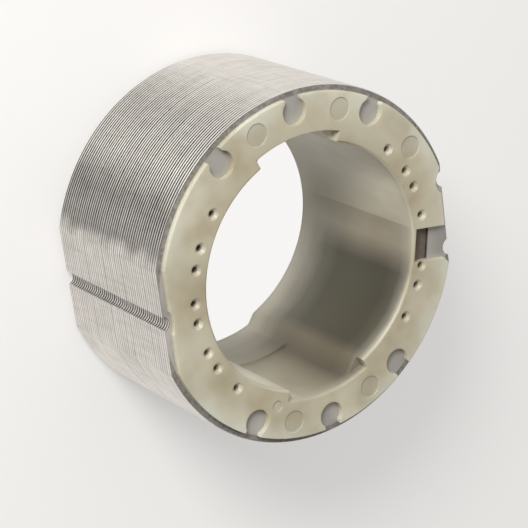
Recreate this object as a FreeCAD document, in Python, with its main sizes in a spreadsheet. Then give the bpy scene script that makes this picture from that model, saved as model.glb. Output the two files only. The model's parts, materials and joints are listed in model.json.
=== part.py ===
"""Stator lamination stack with eight bar magnets and a moulded nylon liner, in millimetres.

Frame: the bore axis is Z and the stack stands on its plain end, at z = 0. X runs through the
two outer flats: the one-groove flat is at -X, the two-notch flat and the magnet window at +X.
"""
import FreeCAD, Part
import math
import os
import Sketcher

os.makedirs("parts", exist_ok=True)
doc = FreeCAD.newDocument("stator_stack")

# ---------------------------------------------------------------- driving dimensions
DIMENSIONS = [
    ("stack_radius", "24", "round outside of the sheets"),
    ("sheet_thickness", "0.5", "one stamped sheet"),
    ("sheet_count", "47", "sheets in the stack"),
    ("stack_height", "=sheet_thickness * sheet_count", "height of the bonded sheets"),
    ("flat_distance", "22.9", "axis to each outer flat"),
    ("groove_radius", "0.9", "half-round groove of the left flat"),
    ("groove_centre", "=flat_distance + 0.1", "axis to the middle of that groove"),
    ("notch_radius", "1.15", "round notches of the right flat"),
    ("notch_centre", "=flat_distance + 0.3", "axis to a notch, straight out"),
    ("notch_offset", "4.95", "notch to the middle of the right flat"),
    ("sheet_bore_radius", "19.3", "round inside of the sheets"),
    ("seat_distance", "19.75", "axis to the flat seat behind a magnet"),
    ("face_height", "0.8", "moulded ring standing above each end sheet"),
    ("total_height", "=stack_height + 2 * face_height", "end to end"),
    ("face_radius", "23.2", "round outside of the moulded rings"),
    ("face_flat", "22.1", "axis to the straight sides of the moulded rings"),
    ("groove_relief", "3.6", "moulded ring drawn back in an arc round the left groove"),
    ("groove_clearance", "0.38", "how far it is drawn back"),
    ("notch_relief", "2.1", "moulded ring drawn back in an arc round each notch"),
    ("notch_clearance", "0.8", "how far it is drawn back"),
    ("pole_radius", "16.6", "bore over the magnets"),
    ("gap_radius", "18.1", "bore between the poles"),
    ("gap_rear_radius", "17.85", "bore between the poles, behind the step"),
    ("gap_step_height", "9.4", "height of that step above the plain end"),
    ("gap_lead_depth", "1.5", "square mouth of each gap at the detailed end"),
    ("gap_edge_round", "1.6", "rounded edge of a pole beside each gap"),
    ("gap_corner_round", "0.6", "rounded corner along the floor of each gap"),
    ("bore_chamfer", "0.25", "broken edge of the bore"),
    ("magnet_inner", "17.0", "axis to the inner face of a magnet"),
    ("magnet_thickness", "=seat_distance - magnet_inner", "radial"),
    ("magnet_width", "6", "along the seat"),
    ("magnet_length", "22.7", "along the stack"),
    ("magnet_edge", "0.3", "broken long edges of a magnet"),
    ("magnet_base", "=face_height + (stack_height - magnet_length) / 2", "height of its lower end"),
    ("magnet_pitch", "22.4", "degrees between neighbouring magnets"),
    ("pin_circle", "18.43", "axis to the locating pin holes"),
    ("pin_radius", "0.42", "locating pin hole"),
    ("pin_countersink", "0.36", "broken edge of its mouth"),
    ("pocket_radius", "1.8", "round edge pocket"),
    ("pocket_circle", "21.4", "axis to the middle of an edge pocket"),
    ("pocket_mouth", "1.25", "half width of its open mouth"),
    ("ejector_radius", "1.5", "ejector pin mark"),
    ("ejector_circle", "20.9", "axis to an ejector pin mark"),
    ("ejector_depth", "0.1", "depth of an ejector pin mark"),
    ("gate_radius", "0.75", "mark left by the gate"),
    ("gate_circle", "18.8", "axis to the gate mark"),
]
GAP_HALF = 21.4  # degrees, half of a gap at the bore
GAP_FLOOR_HALF = 14.0  # degrees, half of a gap's floor, inside its sloped sides
PIN_ANGLES = (4.2, 18.0, 26.6, 40.8)  # degrees either side of each pole's middle
POCKET_ANGLES = (56.8, 90.0, 123.2)  # degrees, and the same half a turn on
EJECTOR_ANGLES = (32.6, 70.5, 106.7, 253.2, 288.8)  # degrees
GATE_ANGLE = 243.8  # degrees
WINDOW_LOW = -1.62  # along the magnet's width, from its middle
WINDOW_HIGH = 3.0
BEYOND = 6.0  # how far a cut runs clear of the material

sheet = doc.addObject("Spreadsheet::Sheet", "dims")
for row, (alias, value, note) in enumerate(DIMENSIONS, start=1):
    sheet.set(f"A{row}", note)
    sheet.set(f"B{row}", value)
    sheet.setAlias(f"B{row}", alias)
doc.recompute()


def dim(alias):
    """Value of a driving dimension."""
    return float(sheet.get(alias))


def polar(radius, degrees):
    """Point at a radius and an angle from +X."""
    turn = math.radians(degrees)
    return FreeCAD.Vector(radius * math.cos(turn), radius * math.sin(turn), 0)


def in_frame(along, across, degrees):
    """Point from its distance along and across a direction at an angle from +X."""
    turn = FreeCAD.Rotation(FreeCAD.Vector(0, 0, 1), degrees)
    return turn.multVec(FreeCAD.Vector(along, across, 0))


# ---------------------------------------------------------------- sketching helpers
def new_body(label):
    body = doc.addObject("PartDesign::Body", label)
    body.Label = label
    return body


def new_sketch(body, name, role="XY_Plane", height=None):
    """Sketch on one of the body's own planes, lifted to a height given as an expression."""
    plane = [f for f in body.Origin.OriginFeatures if f.Role == role][0]
    sketch = body.newObject("Sketcher::SketchObject", name)
    sketch.AttachmentSupport = [(plane, "")]
    sketch.MapMode = "FlatFace"
    if height:
        sketch.setExpression("AttachmentOffset.Base.z", height)
    return sketch


def add_circle(sketch, centre, alias):
    """Circle whose radius is bound to a driving dimension."""
    index = sketch.addGeometry(Part.Circle(centre, FreeCAD.Vector(0, 0, 1), dim(alias)), False)
    rule = sketch.addConstraint(Sketcher.Constraint("Radius", index, dim(alias)))
    sketch.setExpression(f"Constraints[{rule}]", f"dims.{alias}")
    if centre.Length < 1e-9:
        sketch.addConstraint(Sketcher.Constraint("Coincident", index, 3, -1, 1))


def add_outline(sketch, corners):
    """Closed outline of straight lines through the corners."""
    first = sketch.GeometryCount
    count = len(corners)
    for k in range(count):
        sketch.addGeometry(Part.LineSegment(corners[k], corners[(k + 1) % count]), False)
    for k in range(count):
        after = first + (k + 1) % count
        sketch.addConstraint(Sketcher.Constraint("Coincident", first + k, 2, after, 1))


def add_rectangle(sketch, near, far, low, high, degrees=0.0):
    """Rectangle given along and across a direction at an angle from +X."""
    corners = [(near, low), (far, low), (far, high), (near, high)]
    add_outline(sketch, [in_frame(a, b, degrees) for a, b in corners])


def side_angle(radius):
    """Half angle at which the sloped side of a gap passes a radius."""
    low = polar(dim("gap_radius"), GAP_FLOOR_HALF)
    high = polar(dim("pole_radius") - 0.02, GAP_HALF)
    slope = high - low
    a = slope.dot(slope)
    b = 2 * low.dot(slope)
    c = low.dot(low) - radius * radius
    share = (-b - math.sqrt(b * b - 4 * a * c)) / (2 * a)
    point = low + slope * share
    return math.degrees(math.atan2(point.y, point.x))


def add_gap(sketch, alias, middle, floor_half, mouth_half):
    """Gap between the poles: an arc floor and two straight sides that end at the bore."""
    radius = dim(alias)
    first = sketch.GeometryCount
    start = math.radians(middle - floor_half)
    end = math.radians(middle + floor_half)
    whole = Part.Circle(FreeCAD.Vector(0, 0, 0), FreeCAD.Vector(0, 0, 1), radius)
    sketch.addGeometry(Part.ArcOfCircle(whole, start, end), False)
    inner = dim("pole_radius") - 0.02
    left = polar(inner, middle + mouth_half)
    right = polar(inner, middle - mouth_half)
    sketch.addGeometry(Part.LineSegment(polar(radius, middle + floor_half), left), False)
    sketch.addGeometry(Part.LineSegment(left, right), False)
    sketch.addGeometry(Part.LineSegment(right, polar(radius, middle - floor_half)), False)
    for k in range(4):
        after = first + (k + 1) % 4
        sketch.addConstraint(Sketcher.Constraint("Coincident", first + k, 2, after, 1))
    sketch.addConstraint(Sketcher.Constraint("Coincident", first, 3, -1, 1))
    rule = sketch.addConstraint(Sketcher.Constraint("Radius", first, radius))
    sketch.setExpression(f"Constraints[{rule}]", f"dims.{alias}")


def pad(body, sketch, name, length):
    feature = body.newObject("PartDesign::Pad", name)
    feature.Profile = sketch
    feature.setExpression("Length", length)
    doc.recompute()
    return feature


def pocket(body, sketch, name, length):
    """Cut downwards from the sketch, and make sure that material went."""
    before = body.Shape.Volume
    feature = body.newObject("PartDesign::Pocket", name)
    feature.Profile = sketch
    feature.setExpression("Length", length)
    doc.recompute()
    if not body.Shape.Volume < before - 1e-6:
        raise RuntimeError(f"{name} cut nothing")
    return feature


def is_upright(edge, distance):
    """True for a straight edge that runs along Z at a distance from the bore axis."""
    if not isinstance(edge.Curve, Part.Line):
        return False
    ends = [vertex.Point for vertex in edge.Vertexes]
    reach = [math.hypot(point.x, point.y) for point in ends]
    return abs(ends[0].x - ends[1].x) < 1e-6 and max(abs(r - distance) for r in reach) < 1e-3


def is_pole_edge(edge):
    return is_upright(edge, dim("pole_radius"))


def is_gap_corner(edge):
    return is_upright(edge, dim("gap_radius")) or is_upright(edge, dim("gap_rear_radius"))


def is_pin_mouth(edge):
    """True for the round upper edge of a locating pin hole."""
    if not isinstance(edge.Curve, Part.Circle) or abs(edge.Curve.Radius - dim("pin_radius")) > 1e-6:
        return False
    return abs(edge.Curve.Center.z - dim("total_height")) < 1e-6


def treat_edges(body, kind, name, size_name, size, wanted):
    """Fillet or chamfer of one size on every edge that the test picks out."""
    edges = [f"Edge{k}" for k, edge in enumerate(body.Shape.Edges, start=1) if wanted(edge)]
    if not edges:
        raise RuntimeError(f"{name} found no edges")
    base = body.Tip
    feature = body.newObject(f"PartDesign::{kind}", name)
    feature.Base = (base, edges)
    feature.setExpression(size_name, size)
    doc.recompute()
    return feature


def turned_cut(body, sketch, name, degrees):
    """Cut by turning the sketch about the bore axis, evenly to both sides."""
    before = body.Shape.Volume
    feature = body.newObject("PartDesign::Groove", name)
    feature.Profile = sketch
    feature.ReferenceAxis = (sketch, ["V_Axis"])
    feature.Midplane = True
    feature.Angle = degrees
    doc.recompute()
    if not body.Shape.Volume < before - 1e-6:
        raise RuntimeError(f"{name} cut nothing")
    return feature


# ---------------------------------------------------------------- places that repeat
MAGNETS = []
for side, pole in (("left", 180.0), ("right", 0.0)):
    for k in range(4):
        MAGNETS.append((f"magnet_{side}_{k + 1}", pole + (k - 1.5) * dim("magnet_pitch")))
WINDOW_ANGLE = -dim("magnet_pitch") / 2  # the magnet just below the middle of the right pole


# ---------------------------------------------------------------- lamination stack
def build_stack():
    body = new_body("lamination_stack")
    blank = new_sketch(body, "sheet_blank", height="dims.face_height")
    add_circle(blank, FreeCAD.Vector(0, 0, 0), "stack_radius")
    add_circle(blank, FreeCAD.Vector(0, 0, 0), "sheet_bore_radius")
    pad(body, blank, "stacked_sheets", "dims.stack_height")

    top = "dims.face_height + dims.stack_height"
    flats = new_sketch(body, "outer_flats", height=top)
    reach = dim("stack_radius")
    for degrees in (0.0, 180.0):
        add_rectangle(flats, dim("flat_distance"), reach + BEYOND, -reach, reach, degrees)
    pocket(body, flats, "cut_flats", "dims.stack_height")

    grooves = new_sketch(body, "flat_grooves", height=top)
    add_circle(grooves, FreeCAD.Vector(-dim("groove_centre"), 0, 0), "groove_radius")
    for side in (-1, 1):
        place = FreeCAD.Vector(dim("notch_centre"), side * dim("notch_offset"), 0)
        add_circle(grooves, place, "notch_radius")
    pocket(body, grooves, "cut_grooves", "dims.stack_height")

    seats = new_sketch(body, "magnet_seats", height=top)
    half = dim("magnet_width") / 2
    for name, degrees in MAGNETS:
        add_rectangle(seats, dim("magnet_inner"), dim("seat_distance"), -half, half, degrees)
    pocket(body, seats, "cut_seats", "dims.stack_height")
    return body


# ---------------------------------------------------------------- magnets
def build_magnet(name, degrees):
    body = new_body(name)
    outline = new_sketch(body, f"{name}_section", height="dims.magnet_base")
    near = dim("magnet_inner")
    far = dim("seat_distance")
    half = dim("magnet_width") / 2
    edge = dim("magnet_edge")
    corners = [(near, edge - half), (near + edge, -half), (far, -half)]
    corners += [(far, half), (near + edge, half), (near, half - edge)]
    add_outline(outline, [in_frame(a, b, degrees) for a, b in corners])
    pad(body, outline, f"{name}_bar", "dims.magnet_length")
    return body


# ---------------------------------------------------------------- moulded liner
def build_liner():
    body = new_body("moulded_liner")
    centre = FreeCAD.Vector(0, 0, 0)
    top = "dims.total_height"

    tube = new_sketch(body, "liner_tube")
    add_circle(tube, centre, "sheet_bore_radius")
    add_circle(tube, centre, "pole_radius")
    pad(body, tube, "liner_wall", "dims.total_height")

    for name, height in (("plain_end", "0"), ("detailed_end", "dims.face_height + dims.stack_height")):
        ring = new_sketch(body, f"{name}_ring", height=height)
        add_circle(ring, centre, "face_radius")
        add_circle(ring, centre, "pole_radius")
        pad(body, ring, f"{name}_face", "dims.face_height")

    sides = new_sketch(body, "face_sides", height=top)
    reach = dim("stack_radius")
    for degrees in (0.0, 180.0):
        add_rectangle(sides, dim("face_flat"), reach + BEYOND, -reach, reach, degrees)
    pocket(body, sides, "cut_face_sides", "dims.total_height")

    relief = new_sketch(body, "groove_and_notch_relief", height=top)
    out = dim("face_flat") - dim("groove_clearance") + dim("groove_relief")
    add_circle(relief, FreeCAD.Vector(-out, 0, 0), "groove_relief")
    out = dim("face_flat") - dim("notch_clearance") + dim("notch_relief")
    for side in (-1, 1):
        add_circle(relief, FreeCAD.Vector(out, side * dim("notch_offset"), 0), "notch_relief")
    pocket(body, relief, "cut_relief", "dims.total_height")

    seats = new_sketch(body, "seat_ends", height="dims.face_height")
    half = dim("magnet_width") / 2
    for name, degrees in MAGNETS:
        near_side = dim("sheet_bore_radius") - 1.0
        add_rectangle(seats, near_side, dim("seat_distance"), -half, half, degrees)
    pad(body, seats, "fill_seat_ends", "dims.stack_height")

    # gaps between the poles: a deep floor with sloped sides, shallower behind a step
    rear = new_sketch(body, "gap_rear", height="dims.gap_step_height")
    for middle in (90.0, 270.0):
        add_gap(rear, "gap_rear_radius", middle, side_angle(dim("gap_rear_radius")), GAP_HALF)
    pocket(body, rear, "cut_gap_rear", "dims.gap_step_height")
    floor = new_sketch(body, "gap_floor", height=top)
    for middle in (90.0, 270.0):
        add_gap(floor, "gap_radius", middle, GAP_FLOOR_HALF, GAP_HALF)
    pocket(body, floor, "cut_gap_floor", "dims.total_height - dims.gap_step_height")
    size = "dims.gap_edge_round"
    treat_edges(body, "Fillet", "round_pole_edges", "Radius", size, is_pole_edge)
    size = "dims.gap_corner_round"
    treat_edges(body, "Fillet", "round_gap_corners", "Radius", size, is_gap_corner)
    mouth = new_sketch(body, "gap_mouth", height=top)
    for middle in (90.0, 270.0):
        add_gap(mouth, "gap_radius", middle, GAP_HALF, GAP_HALF)
    pocket(body, mouth, "cut_gap_mouth", "dims.gap_lead_depth")

    # broken edges of the bore at both ends
    bore = dim("pole_radius")
    lip = dim("bore_chamfer")
    ends = new_sketch(body, "bore_edges", role="YZ_Plane")
    for level, step in ((0.0, 1.0), (dim("total_height"), -1.0)):
        corners = [(bore - 0.5, level - step), (bore + lip + 1.0, level - step)]
        corners += [(bore - 0.5, level + step * (lip + 0.5))]
        add_outline(ends, [FreeCAD.Vector(a, b, 0) for a, b in corners])
    turned_cut(body, ends, "break_bore_edges", 360)

    # magnets are moulded in, so each leaves a closed cavity of its own size
    cavity = new_sketch(body, "magnet_cavities", height="dims.magnet_base + dims.magnet_length")
    edge = dim("magnet_edge")
    near = dim("magnet_inner")
    far = dim("seat_distance")
    for name, degrees in MAGNETS:
        corners = [(near, edge - half), (near + edge, -half), (far, -half)]
        corners += [(far, half), (near + edge, half), (near, half - edge)]
        add_outline(cavity, [in_frame(a, b, degrees) for a, b in corners])
    pocket(body, cavity, "cut_magnet_cavities", "dims.magnet_length")

    to_magnet = "dims.total_height - dims.magnet_base - dims.magnet_length"
    pins = new_sketch(body, "pin_holes", height=top)
    for pole in (0.0, 180.0):
        for angle in PIN_ANGLES:
            for side in (-1, 1):
                if pole == 0.0 and side == -1 and angle == PIN_ANGLES[0]:
                    continue  # this one lies inside the magnet window
                add_circle(pins, polar(dim("pin_circle"), pole + side * angle), "pin_radius")
    pocket(body, pins, "cut_pin_holes", to_magnet)
    countersink = "dims.pin_countersink"
    treat_edges(body, "Chamfer", "countersink_pin_holes", "Size", countersink, is_pin_mouth)

    window = new_sketch(body, "magnet_window", height=top)
    reach = dim("stack_radius")
    add_rectangle(window, near, far, WINDOW_LOW, WINDOW_HIGH, WINDOW_ANGLE)
    pocket(body, window, "cut_magnet_window", to_magnet)
    clear = new_sketch(body, "window_cutaway", height=top)
    add_rectangle(clear, far - 0.2, reach + BEYOND, WINDOW_LOW, WINDOW_HIGH, WINDOW_ANGLE)
    pocket(body, clear, "cut_window_cutaway", "dims.face_height")

    notches = new_sketch(body, "edge_pockets", height=top)
    for turn in (0.0, 180.0):
        for angle in POCKET_ANGLES:
            add_circle(notches, polar(dim("pocket_circle"), turn + angle), "pocket_radius")
    pocket(body, notches, "cut_pocket_ends", "dims.face_height")
    open_side = new_sketch(body, "edge_pocket_mouths", height=top)
    wide = dim("pocket_mouth")
    for turn in (0.0, 180.0):
        for angle in POCKET_ANGLES:
            add_rectangle(open_side, dim("pocket_circle"), reach + BEYOND, -wide, wide, turn + angle)
    pocket(body, open_side, "cut_pocket_mouths", "dims.face_height")

    marks = new_sketch(body, "ejector_and_gate_marks", height=top)
    for angle in EJECTOR_ANGLES:
        add_circle(marks, polar(dim("ejector_circle"), angle), "ejector_radius")
    add_circle(marks, polar(dim("gate_circle"), GATE_ANGLE), "gate_radius")
    pocket(body, marks, "press_marks", "dims.ejector_depth")
    return body


# ---------------------------------------------------------------- build, check and write
bodies = [build_stack(), build_liner()]
for name, degrees in MAGNETS:
    bodies.append(build_magnet(name, degrees))
doc.recompute()

for item in doc.Objects:
    if "Invalid" in item.State or "Error" in item.State:
        raise RuntimeError(f"{item.Name} failed: {item.State}")
for body in bodies:
    shape = body.Shape
    if shape.isNull() or not shape.isValid():
        raise RuntimeError(f"{body.Label} has no valid shape")
    shape.exportStep(f"parts/{body.Label}.step")
    print(body.Label, "solids", len(shape.Solids), "volume", round(shape.Volume, 2))
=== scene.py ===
"""Looks for a stator lamination stack: steel sheets, bar magnets and a moulded nylon liner.

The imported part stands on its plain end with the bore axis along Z. All lengths are in metres.
"""
import json
import math
import random

import bmesh
import bpy
from mathutils import Matrix, Quaternion, Vector

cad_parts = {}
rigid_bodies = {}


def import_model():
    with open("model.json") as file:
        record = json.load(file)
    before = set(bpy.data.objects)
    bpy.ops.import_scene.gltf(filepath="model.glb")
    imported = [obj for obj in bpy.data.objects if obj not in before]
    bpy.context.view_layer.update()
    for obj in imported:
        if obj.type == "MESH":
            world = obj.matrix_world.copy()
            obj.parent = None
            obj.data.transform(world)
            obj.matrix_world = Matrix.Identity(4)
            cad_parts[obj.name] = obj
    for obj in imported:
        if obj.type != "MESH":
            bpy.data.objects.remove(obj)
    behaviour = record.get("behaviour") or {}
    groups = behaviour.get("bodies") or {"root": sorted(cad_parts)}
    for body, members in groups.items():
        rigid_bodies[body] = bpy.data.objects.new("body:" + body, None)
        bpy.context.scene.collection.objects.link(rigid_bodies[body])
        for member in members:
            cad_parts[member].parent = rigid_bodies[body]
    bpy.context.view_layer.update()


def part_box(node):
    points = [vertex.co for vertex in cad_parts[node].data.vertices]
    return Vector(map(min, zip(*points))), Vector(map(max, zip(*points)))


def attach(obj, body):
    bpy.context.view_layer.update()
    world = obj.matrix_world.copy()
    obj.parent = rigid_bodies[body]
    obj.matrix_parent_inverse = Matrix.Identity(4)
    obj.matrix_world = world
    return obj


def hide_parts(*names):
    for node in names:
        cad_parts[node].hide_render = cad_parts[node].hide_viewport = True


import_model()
random.seed(47)

MM = 0.001
SHEET_COUNT = 47
SHEET_EDGE = 0.11 * MM  # rounded edge that the stamping leaves on each sheet
SHEET_SHIFT = 0.02 * MM  # how far one sheet may stand from the next

STACK_LOW, STACK_HIGH = (Vector(corner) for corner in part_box("lamination_stack"))
SHEET_PITCH = (STACK_HIGH.z - STACK_LOW.z) / SHEET_COUNT
LINER_HIGH = Vector(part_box("moulded_liner")[1])
EJECTOR_ANGLES = (32.6, 70.5, 106.7, 253.2, 288.8)  # degrees from +X
EJECTOR_CIRCLE = 20.9 * MM
EJECTOR_EDGE = (1.55 * MM, 1.40 * MM)  # where a mark's darker tone starts and is full
GROOVE_SHADE_EDGE = (22.70 * MM, 22.88 * MM)  # from the axis, inside the grooves and at the flats; inside it both bands get painted shade
RIM_EDGE = (23.05 * MM, 23.30 * MM)  # from the axis, where the bare rim starts
WALL_EDGE = (18.3 * MM, 18.2 * MM)  # from the axis, just outside the bore's wall, where the wall's tone and painted shade start
WALL_TOP = (LINER_HIGH.z - 0.05 * MM, LINER_HIGH.z - 0.35 * MM)
BORE_EDGE = (19.5 * MM, 18.5 * MM)  # from the axis, on the floor below the bore
PLAIN_SHARE = 0.45  # share of its own pale colour that the floor shows outside the bore


def direction(azimuth, elevation):
    """Unit vector towards an azimuth and an elevation in degrees."""
    a = math.radians(azimuth)
    e = math.radians(elevation)
    return Vector((math.cos(e) * math.cos(a), math.cos(e) * math.sin(a), math.sin(e)))


# ---------------------------------------------------------------- node helpers
def new_material(name):
    """Material with an empty node tree and a surface output."""
    material = bpy.data.materials.new(name)
    material.use_nodes = True
    tree = material.node_tree
    tree.nodes.clear()
    output = tree.nodes.new("ShaderNodeOutputMaterial")
    return material, tree, output


def add_node(tree, kind, **settings):
    """Node of a kind; a setting that names an input fills it, any other is a property."""
    node = tree.nodes.new(kind)
    for key, value in settings.items():
        if hasattr(node, key):
            setattr(node, key, value)
        else:
            node.inputs[key.replace("_", " ")].default_value = value
    return node


def add_ramp(tree, factor, stops):
    """Colour ramp fed by a factor."""
    ramp = tree.nodes.new("ShaderNodeValToRGB")
    elements = ramp.color_ramp.elements
    while len(elements) < len(stops):
        elements.new(0.5)
    for element, (place, color) in zip(elements, stops):
        element.position = place
        element.color = (*color, 1.0)
    tree.links.new(factor, ramp.inputs["Fac"])
    return ramp.outputs["Color"]


def add_grey_ramp(tree, factor, stops):
    """Ramp of plain values."""
    return add_ramp(tree, factor, [(place, (value, value, value)) for place, value in stops])


def add_fade(tree, value, edge, first=0.0, last=1.0, kind="LINEAR"):
    """Change from one number to another between the two places of an edge, held beyond them."""
    fade = tree.nodes.new("ShaderNodeMapRange")
    fade.interpolation_type = kind
    fade.inputs["From Min"].default_value = edge[0]
    fade.inputs["From Max"].default_value = edge[1]
    fade.inputs["To Min"].default_value = first
    fade.inputs["To Max"].default_value = last
    tree.links.new(value, fade.inputs["Value"])
    return fade.outputs[0]


def add_math(tree, operation, first, second=None):
    """Math node whose inputs are sockets or numbers."""
    node = tree.nodes.new("ShaderNodeMath")
    node.operation = operation
    for place, value in enumerate((first, second)):
        if value is None:
            continue
        if isinstance(value, (int, float)):
            node.inputs[place].default_value = value
        else:
            tree.links.new(value, node.inputs[place])
    return node.outputs[0]


def mix_colors(tree, factor, first, second, blend="MIX"):
    """Blend of two colours, each a socket or a tuple."""
    node = tree.nodes.new("ShaderNodeMix")
    node.data_type = "RGBA"
    node.blend_type = blend
    for place, value in ((0, factor), (6, first), (7, second)):
        socket = node.inputs[place]
        if isinstance(value, (int, float)):
            socket.default_value = value
        elif isinstance(value, tuple):
            socket.default_value = (*value, 1.0)
        else:
            tree.links.new(value, socket)
    return node.outputs[2]


def multiply_colors(tree, first, second):
    """One colour darkened or lightened by another."""
    return mix_colors(tree, 1.0, first, second, "MULTIPLY")


def add_sway(tree, noise, amount):
    """Noise turned into a small change either side of nothing."""
    return add_math(tree, "MULTIPLY", add_math(tree, "SUBTRACT", noise, 0.5), amount)


def object_place(tree):
    """Object coordinates, in metres."""
    return tree.nodes.new("ShaderNodeTexCoord").outputs["Object"]


def add_noise(tree, place, scale, detail=3.0, stretch=(1.0, 1.0, 1.0)):
    """Noise over the surface, drawn out along an axis where stretch is small."""
    mapping = tree.nodes.new("ShaderNodeMapping")
    mapping.inputs["Scale"].default_value = stretch
    tree.links.new(place, mapping.inputs["Vector"])
    noise = tree.nodes.new("ShaderNodeTexNoise")
    noise.inputs["Scale"].default_value = scale
    noise.inputs["Detail"].default_value = detail
    tree.links.new(mapping.outputs["Vector"], noise.inputs["Vector"])
    return noise.outputs["Fac"]


def add_bump(tree, height, strength, distance, normal=None):
    """Bump from a height, over the plain surface or over another normal."""
    bump = tree.nodes.new("ShaderNodeBump")
    bump.inputs["Strength"].default_value = strength
    bump.inputs["Distance"].default_value = distance
    tree.links.new(height, bump.inputs["Height"])
    if normal is not None:
        tree.links.new(normal, bump.inputs["Normal"])
    return bump.outputs["Normal"]


def round_place(tree):
    """Turn (0 to 1 from -X round to -X), distance from the axis, and height, in metres."""
    parts = tree.nodes.new("ShaderNodeSeparateXYZ")
    tree.links.new(object_place(tree), parts.inputs[0])
    angle = add_math(tree, "ARCTAN2", parts.outputs["Y"], parts.outputs["X"])
    turn = add_math(tree, "ADD", add_math(tree, "DIVIDE", angle, 2 * math.pi), 0.5)
    flat = tree.nodes.new("ShaderNodeCombineXYZ")
    tree.links.new(parts.outputs["X"], flat.inputs["X"])
    tree.links.new(parts.outputs["Y"], flat.inputs["Y"])
    reach = tree.nodes.new("ShaderNodeVectorMath")
    reach.operation = "LENGTH"
    tree.links.new(flat.outputs[0], reach.inputs[0])
    return turn, reach.outputs["Value"], parts.outputs["Z"]


def add_side_noise(tree, turn, level, across, up, detail):
    """Noise that follows the round side: cells per turn, and cells per sheet up the stack."""
    joined = tree.nodes.new("ShaderNodeCombineXYZ")
    tree.links.new(add_math(tree, "MULTIPLY", turn, across), joined.inputs["X"])
    tree.links.new(add_math(tree, "MULTIPLY", level, up), joined.inputs["Y"])
    return add_noise(tree, joined.outputs[0], 1.0, detail)


# ---------------------------------------------------------------- materials
def stamped_edge_steel():
    """Cut edges of the sheets: a bright sheared band and a darker torn band on each one.

    Round the side the tones of both bands change with place, partly stains and partly painted
    reflection, highlight and shade; some stretches are dark between the sheets. Inside the
    grooves both bands are darker: painted shade.
    """
    material, tree, output = new_material("stamped_edge_steel")
    turn, reach, height = round_place(tree)
    level = add_math(tree, "DIVIDE", add_math(tree, "SUBTRACT", height, STACK_LOW.z), SHEET_PITCH)

    # nicks run across the sheets, and each sheet differs a little from the next
    nicks = add_side_noise(tree, turn, level, 400.0, 1.4, 3.0)
    streaks = add_side_noise(tree, turn, level, 220.0, 0.09, 2.0)
    drift = add_side_noise(tree, turn, add_math(tree, "FLOOR", level), 25.0, 7.3, 2.0)
    broad = add_side_noise(tree, turn, level, 40.0, 0.12, 4.0)

    # how bright the sheared and the torn band are, round the side from -X to -X; partly stains,
    # partly painted reflection and shade
    place = add_math(tree, "ADD", turn, add_sway(tree, broad, 0.03))
    sheared_tone_and_painted_light = add_grey_ramp(tree, place, [
        (0.00, 0.80), (0.05, 0.86), (0.10, 0.98), (0.30, 0.86), (0.45, 0.74), (0.60, 0.78),
        (0.68, 0.82), (0.77, 0.80), (0.82, 0.78), (0.868, 0.92), (0.888, 0.74),
        (0.902, 0.50), (0.925, 0.56), (0.938, 0.46), (0.952, 0.80), (1.00, 0.80),
    ])
    torn_tone_and_painted_light = add_grey_ramp(tree, place, [
        (0.00, 0.52), (0.05, 0.60), (0.10, 0.76), (0.25, 0.30), (0.35, 0.06), (0.48, 0.45),
        (0.60, 0.40), (0.68, 0.68), (0.76, 0.60), (0.79, 0.28), (0.815, 0.06), (0.84, 0.01),
        (0.905, 0.006), (0.925, 0.05), (0.938, 0.13), (0.952, 0.46), (1.00, 0.52),
    ])
    # inside the grooves both bands are darkened: painted shade
    sheared_tone_and_painted_light = multiply_colors(tree, sheared_tone_and_painted_light, add_fade(tree, reach, GROOVE_SHADE_EDGE, 0.80))
    torn_tone_and_painted_light = multiply_colors(tree, torn_tone_and_painted_light, add_fade(tree, reach, GROOVE_SHADE_EDGE, 0.16))

    # the bands of one sheet
    part = add_math(tree, "FRACT", add_math(tree, "ADD", level, add_sway(tree, nicks, 0.10)))
    sheared = add_grey_ramp(tree, part, [
        (0.00, 0.0), (0.52, 0.0), (0.58, 1.0), (0.92, 1.0), (0.97, 0.0),
    ])
    tone = mix_colors(tree, sheared, torn_tone_and_painted_light, sheared_tone_and_painted_light)
    shade = add_grey_ramp(tree, drift, [(0.30, 0.90), (0.70, 1.06)])
    tone = multiply_colors(tree, tone, shade)
    streak = add_grey_ramp(tree, streaks, [(0.25, 0.90), (0.50, 1.0), (0.75, 1.05)])
    tone = multiply_colors(tree, tone, streak)
    tint = add_ramp(tree, broad, [
        (0.30, (1.0, 0.955, 0.90)), (0.70, (0.99, 0.96, 0.912)),
    ])
    color = multiply_colors(tree, tone, tint)
    shader = add_node(tree, "ShaderNodeBsdfPrincipled", Metallic=0.9)
    tree.links.new(color, shader.inputs["Base Color"])
    rough = add_fade(tree, sheared, (0.0, 1.0), 0.55, 0.36)
    tree.links.new(rough, shader.inputs["Roughness"])
    tree.links.new(add_bump(tree, nicks, 0.1, 0.02 * MM), shader.inputs["Normal"])
    tree.links.new(shader.outputs[0], output.inputs["Surface"])
    return material


def sheet_face_steel():
    """Flat face of a sheet: dull grey, darker and browner where the rim is handled."""
    material, tree, output = new_material("sheet_face_steel")
    place = object_place(tree)
    _, reach, _ = round_place(tree)
    cloud = add_noise(tree, place, 250.0, 4.0)
    grain = add_noise(tree, place, 2200.0, 3.0)
    color = add_ramp(tree, cloud, [(0.3, (0.39, 0.373, 0.345)), (0.7, (0.47, 0.452, 0.42))])
    handled = add_ramp(tree, grain, [(0.35, (0.19, 0.177, 0.155)), (0.65, (0.31, 0.294, 0.268))])
    color = mix_colors(tree, add_fade(tree, reach, RIM_EDGE), color, handled)
    shader = add_node(tree, "ShaderNodeBsdfPrincipled", Metallic=0.35, Roughness=0.55)
    tree.links.new(color, shader.inputs["Base Color"])
    tree.links.new(add_bump(tree, cloud, 0.1, 0.05 * MM), shader.inputs["Normal"])
    tree.links.new(shader.outputs[0], output.inputs["Surface"])
    return material


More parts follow.
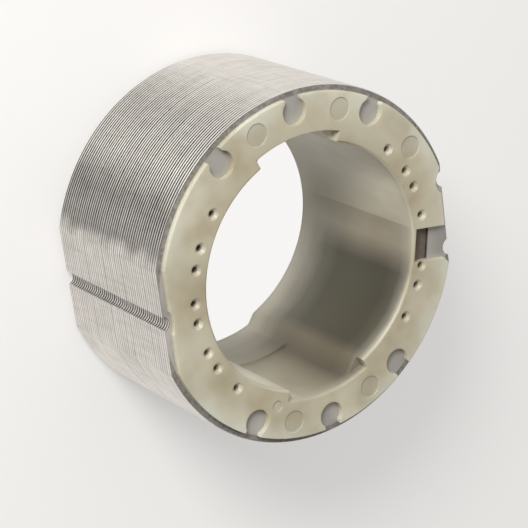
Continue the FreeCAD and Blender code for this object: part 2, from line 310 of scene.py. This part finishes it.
def natural_nylon():
    """Undyed nylon: cream and cloudy, paler towards the outside of the face.

    The wall of the bore is pale at both ends and dark between them, on one half of each pole
    more than on the other: partly the magnets showing through the thin wall, partly painted
    shade and reflection, and at the ends partly painted light. The ejector pin marks are a
    little darker than the face about them.
    """
    material, tree, output = new_material("natural_nylon")
    place = object_place(tree)
    turn, reach, height = round_place(tree)
    cloud = add_noise(tree, place, 120.0, 4.0)
    patch = add_noise(tree, place, 170.0, 2.0, (1.0, 1.0, 0.4))
    color = add_ramp(tree, cloud, [(0.3, (0.45, 0.42, 0.33)), (0.7, (0.56, 0.535, 0.44))])
    blotch = add_ramp(tree, patch, [
        (0.30, (0.84, 0.80, 0.72)), (0.47, (1.0, 0.98, 0.94)), (0.62, (1.04, 1.06, 1.05)),
    ])
    color = multiply_colors(tree, color, blotch)
    outward = add_math(tree, "DIVIDE", reach, STACK_HIGH.y)
    # paler and bluer towards the outside of the face, browner towards the bore
    outward_tone = add_ramp(tree, outward, [
        (0.70, (0.90, 0.87, 0.83)), (0.86, (0.98, 0.96, 0.93)), (0.93, (1.08, 1.11, 1.15)),
        (0.97, (1.14, 1.18, 1.24)),
    ])
    color = multiply_colors(tree, color, outward_tone)

    # ejector pin marks
    nearest = None
    for angle in EJECTOR_ANGLES:
        middle = direction(angle, 0.0) * EJECTOR_CIRCLE
        middle.z = LINER_HIGH.z
        apart = tree.nodes.new("ShaderNodeVectorMath")
        apart.operation = "DISTANCE"
        apart.inputs[1].default_value = middle
        tree.links.new(place, apart.inputs[0])
        gap = apart.outputs["Value"]
        nearest = gap if nearest is None else add_math(tree, "MINIMUM", nearest, gap)
    mark = add_fade(tree, nearest, EJECTOR_EDGE, 0.0, 0.38)
    color = mix_colors(tree, mark, color, (0.33, 0.305, 0.22))

    # the wall of the bore, the same on both sides of the part: magnets showing through the thin
    # wall, with painted shade and reflection
    half = add_math(tree, "FRACT", add_math(tree, "MULTIPLY", turn, 2.0))
    wall = add_ramp(tree, half, [
        (0.00, (0.46, 0.43, 0.35)), (0.067, (0.66, 0.63, 0.54)), (0.12, (0.84, 0.81, 0.71)),
        (0.33, (0.84, 0.81, 0.71)), (0.444, (0.40, 0.37, 0.29)), (0.522, (0.21, 0.185, 0.13)),
        (0.567, (0.085, 0.068, 0.042)), (0.611, (0.14, 0.118, 0.08)),
        (0.65, (0.052, 0.046, 0.024)), (0.867, (0.050, 0.045, 0.026)),
        (0.90, (0.15, 0.132, 0.10)), (0.94, (0.32, 0.29, 0.23)),
    ])
    wall = multiply_colors(tree, wall, blotch)
    # pale at both ends of the wall: partly thicker nylon, partly painted light
    wavy_height = add_math(tree, "ADD", height, add_sway(tree, cloud, 2.5 * MM))
    depth = add_math(tree, "DIVIDE", wavy_height, LINER_HIGH.z)
    thick_ends_and_painted_light = add_grey_ramp(tree, depth, [
        (0.04, 1.0), (0.16, 0.42), (0.27, 0.12), (0.40, 0.02), (0.80, 0.0), (0.90, 0.06),
        (0.96, 0.34), (0.99, 0.9),
    ])
    end_tone_and_painted_light = add_ramp(tree, depth, [(0.3, (0.88, 0.84, 0.73)), (0.8, (0.55, 0.52, 0.43))])
    wall = mix_colors(tree, thick_ends_and_painted_light, wall, end_tone_and_painted_light)
    inner = add_fade(tree, reach, WALL_EDGE)
    on_wall = add_math(tree, "MULTIPLY", inner, add_fade(tree, height, WALL_TOP))
    color = mix_colors(tree, on_wall, color, wall)

    shader = add_node(tree, "ShaderNodeBsdfPrincipled", Roughness=0.42)
    shader.inputs["Subsurface Weight"].default_value = 0.25
    shader.inputs["Subsurface Radius"].default_value = (1.0, 0.85, 0.55)
    shader.inputs["Subsurface Scale"].default_value = 1.5 * MM
    tree.links.new(color, shader.inputs["Base Color"])
    bevel = tree.nodes.new("ShaderNodeBevel")
    bevel.samples = 6
    bevel.inputs["Radius"].default_value = 0.15 * MM
    normal = add_bump(tree, patch, 0.2, 0.12 * MM, bevel.outputs["Normal"])
    tree.links.new(normal, shader.inputs["Normal"])
    tree.links.new(shader.outputs[0], output.inputs["Surface"])
    return material


def magnet_dark():
    """Sintered magnet end: dark brown-grey and matt."""
    material, tree, output = new_material("magnet_dark")
    place = object_place(tree)
    grain = add_noise(tree, place, 1500.0, 4.0)
    color = add_ramp(tree, grain, [(0.3, (0.12, 0.095, 0.074)), (0.7, (0.17, 0.14, 0.113))])
    shader = add_node(tree, "ShaderNodeBsdfPrincipled", Metallic=0.2, Roughness=0.6)
    tree.links.new(color, shader.inputs["Base Color"])
    tree.links.new(shader.outputs[0], output.inputs["Surface"])
    return material


def pale_table():
    """Floor that reads as near white and keeps a soft shadow, except where the bore stands."""
    material, tree, output = new_material("pale_table")
    diffuse = add_node(tree, "ShaderNodeBsdfDiffuse", Color=(0.86, 0.85, 0.84, 1.0))
    glow = add_node(tree, "ShaderNodeEmission", Color=(0.93, 0.915, 0.90, 1.0), Strength=1.0)
    _, reach, _ = round_place(tree)
    inside = add_fade(tree, reach, BORE_EDGE, PLAIN_SHARE)
    paths = tree.nodes.new("ShaderNodeLightPath")
    seen = paths.outputs["Is Camera Ray"]
    for kind in ("Is Glossy Ray", "Is Transmission Ray"):
        seen = add_math(tree, "MAXIMUM", seen, paths.outputs[kind])
    share = add_node(tree, "ShaderNodeMixShader")
    tree.links.new(add_math(tree, "MULTIPLY", seen, inside), share.inputs[0])
    tree.links.new(diffuse.outputs[0], share.inputs[1])
    tree.links.new(glow.outputs[0], share.inputs[2])
    tree.links.new(share.outputs[0], output.inputs["Surface"])
    return material


# ---------------------------------------------------------------- stack of sheets
def merged_copy(name):
    """Mesh of a CAD node with its doubled corners merged, as a bmesh."""
    copy = bmesh.new()
    copy.from_mesh(bpy.data.objects[name].data)
    bmesh.ops.remove_doubles(copy, verts=copy.verts, dist=0.001 * MM)
    return copy


def one_sheet():
    """One sheet, lying at the bottom of the stack, with its outside edges slightly rounded."""
    sheet = merged_copy("lamination_stack")
    level = STACK_HIGH.z - 0.01 * MM
    lower = [face for face in sheet.faces if min(v.co.z for v in face.verts) < level]
    bmesh.ops.delete(sheet, geom=lower, context="FACES")
    bmesh.ops.translate(sheet, verts=sheet.verts, vec=(0, 0, STACK_LOW.z - STACK_HIGH.z))
    raised = bmesh.ops.extrude_face_region(sheet, geom=sheet.faces[:])
    tops = [item for item in raised["geom"] if isinstance(item, bmesh.types.BMVert)]
    bmesh.ops.translate(sheet, verts=tops, vec=(0, 0, SHEET_PITCH))
    bmesh.ops.recalc_face_normals(sheet, faces=sheet.faces)
    inside = 0.9 * STACK_HIGH.x  # between the bore and the outside
    edges = [
        edge
        for edge in sheet.edges
        if min(v.co.xy.length for v in edge.verts) > inside
        and abs(edge.verts[0].co.z - edge.verts[1].co.z) < 0.001 * MM
        and edge.calc_face_angle(0.0) > 1.0
    ]
    bmesh.ops.bevel(
        sheet, geom=edges, offset=SHEET_EDGE, offset_type="OFFSET", segments=2,
        profile=0.5, affect="EDGES", material=-1, clamp_overlap=True,
    )
    return sheet


def build_sheets(edge_material, face_material):
    """All the sheets as one piece: each is a copy of the first, a hair out of line."""
    sheet = one_sheet()
    pattern = bpy.data.meshes.new("sheet_pattern")
    sheet.to_mesh(pattern)
    sheet.free()
    stack = bmesh.new()
    for k in range(SHEET_COUNT):
        before = len(stack.verts)
        stack.from_mesh(pattern)
        stack.verts.ensure_lookup_table()
        shift = random.uniform(-SHEET_SHIFT, SHEET_SHIFT)
        shrink = 1.0 + (shift - SHEET_SHIFT) / STACK_HIGH.y
        raised = Matrix.Translation((0, 0, k * SHEET_PITCH))
        matrix = raised @ Matrix.Diagonal((shrink, shrink, 1, 1))
        bmesh.ops.transform(stack, matrix=matrix, verts=stack.verts[before:])
    bpy.data.meshes.remove(pattern)
    mesh = bpy.data.meshes.new("stacked_sheets")
    for face in stack.faces:
        face.smooth = True
        face.material_index = 1 if abs(face.normal.z) > 0.95 else 0
    stack.to_mesh(mesh)
    stack.free()
    mesh.set_sharp_from_angle(angle=math.radians(30))
    mesh.materials.append(edge_material)
    mesh.materials.append(face_material)
    piece = bpy.data.objects.new("stacked_sheets", mesh)
    bpy.context.scene.collection.objects.link(piece)
    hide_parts("lamination_stack")
    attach(piece, "root")


# ---------------------------------------------------------------- camera, lights and floor
TARGET = Vector((-0.14, -2.47, 13.67)) * MM
CAMERA_AZIMUTH = 142.70  # degrees from +X
CAMERA_ELEVATION = 50.96
CAMERA_DISTANCE = 270.77 * MM
CAMERA_ROLL = -113.04  # turns the view so that the part seems to lie on its round side
CAMERA_LENS = 137.67  # on a 36 mm frame
ROOM_LEVEL = 0.11
SOFT_WALLS = [  # azimuth, elevation, cosine where the glow starts and is full, strength
    (55.0, 35.0, 0.30, 0.80, 0.62),
    (228.0, 30.0, 0.60, 0.92, 0.45),
]


def add_camera():
    data = bpy.data.cameras.new("camera")
    data.lens = CAMERA_LENS
    data.clip_start = 0.01
    camera = bpy.data.objects.new("camera", data)
    towards = direction(CAMERA_AZIMUTH, CAMERA_ELEVATION)
    upright = towards.to_track_quat("Z", "Y")
    camera.rotation_mode = "QUATERNION"
    camera.rotation_quaternion = upright @ Quaternion((0, 0, 1), math.radians(-CAMERA_ROLL))
    camera.location = TARGET + towards * CAMERA_DISTANCE
    bpy.context.scene.collection.objects.link(camera)
    bpy.context.scene.camera = camera


def add_area_light(name, azimuth, elevation, distance, size, power, color):
    data = bpy.data.lights.new(name, "AREA")
    data.shape = "DISK"
    data.size = size
    data.energy = power
    data.color = color
    lamp = bpy.data.objects.new(name, data)
    towards = direction(azimuth, elevation)
    lamp.location = TARGET + towards * distance
    lamp.rotation_mode = "QUATERNION"
    lamp.rotation_quaternion = towards.to_track_quat("Z", "Y")
    bpy.context.scene.collection.objects.link(lamp)


def add_floor():
    plane = bmesh.new()
    bmesh.ops.create_grid(plane, x_segments=1, y_segments=1, size=3.0)
    mesh = bpy.data.meshes.new("table_top")
    plane.to_mesh(mesh)
    plane.free()
    mesh.materials.append(pale_table())
    floor = bpy.data.objects.new("table_top", mesh)
    bpy.context.scene.collection.objects.link(floor)


def add_world():
    """Soft studio surroundings: pale towards two walls, dim towards the middle of the room."""
    world = bpy.data.worlds.new("studio")
    bpy.context.scene.world = world
    world.use_nodes = True
    tree = world.node_tree
    tree.nodes.clear()
    towards = tree.nodes.new("ShaderNodeTexCoord").outputs["Generated"]
    glow = None
    for azimuth, elevation, low, high, strength in SOFT_WALLS:
        facing = tree.nodes.new("ShaderNodeVectorMath")
        facing.operation = "DOT_PRODUCT"
        facing.inputs[1].default_value = direction(azimuth, elevation)
        tree.links.new(towards, facing.inputs[0])
        wall = add_fade(tree, facing.outputs["Value"], (low, high), 0.0, strength, "SMOOTHSTEP")
        glow = wall if glow is None else add_math(tree, "ADD", glow, wall)
    level = add_math(tree, "ADD", glow, ROOM_LEVEL)
    paths = tree.nodes.new("ShaderNodeLightPath")
    room = tree.nodes.new("ShaderNodeBackground")
    room.inputs["Color"].default_value = (1.0, 0.99, 0.97, 1.0)
    tree.links.new(level, room.inputs["Strength"])
    plain = tree.nodes.new("ShaderNodeBackground")
    plain.inputs["Color"].default_value = (0.88, 0.875, 0.86, 1.0)
    share = tree.nodes.new("ShaderNodeMixShader")
    output = tree.nodes.new("ShaderNodeOutputWorld")
    tree.links.new(paths.outputs["Is Camera Ray"], share.inputs[0])
    tree.links.new(room.outputs[0], share.inputs[1])
    tree.links.new(plain.outputs[0], share.inputs[2])
    tree.links.new(share.outputs[0], output.inputs["Surface"])


# ---------------------------------------------------------------- put together
edge_steel = stamped_edge_steel()
face_steel = sheet_face_steel()
build_sheets(edge_steel, face_steel)

nylon = natural_nylon()
liner = bpy.data.objects["moulded_liner"]
for slot in liner.material_slots:
    slot.material = nylon

dark = magnet_dark()
for side in ("left", "right"):
    for k in range(1, 5):
        for slot in bpy.data.objects[f"magnet_{side}_{k}"].material_slots:
            slot.material = dark

add_camera()
add_floor()
add_world()
add_area_light("key_light", 126.0, 32.0, 0.4, 0.14, 1.6, (1.0, 0.985, 0.96))

bpy.context.scene.view_settings.view_transform = "Standard"
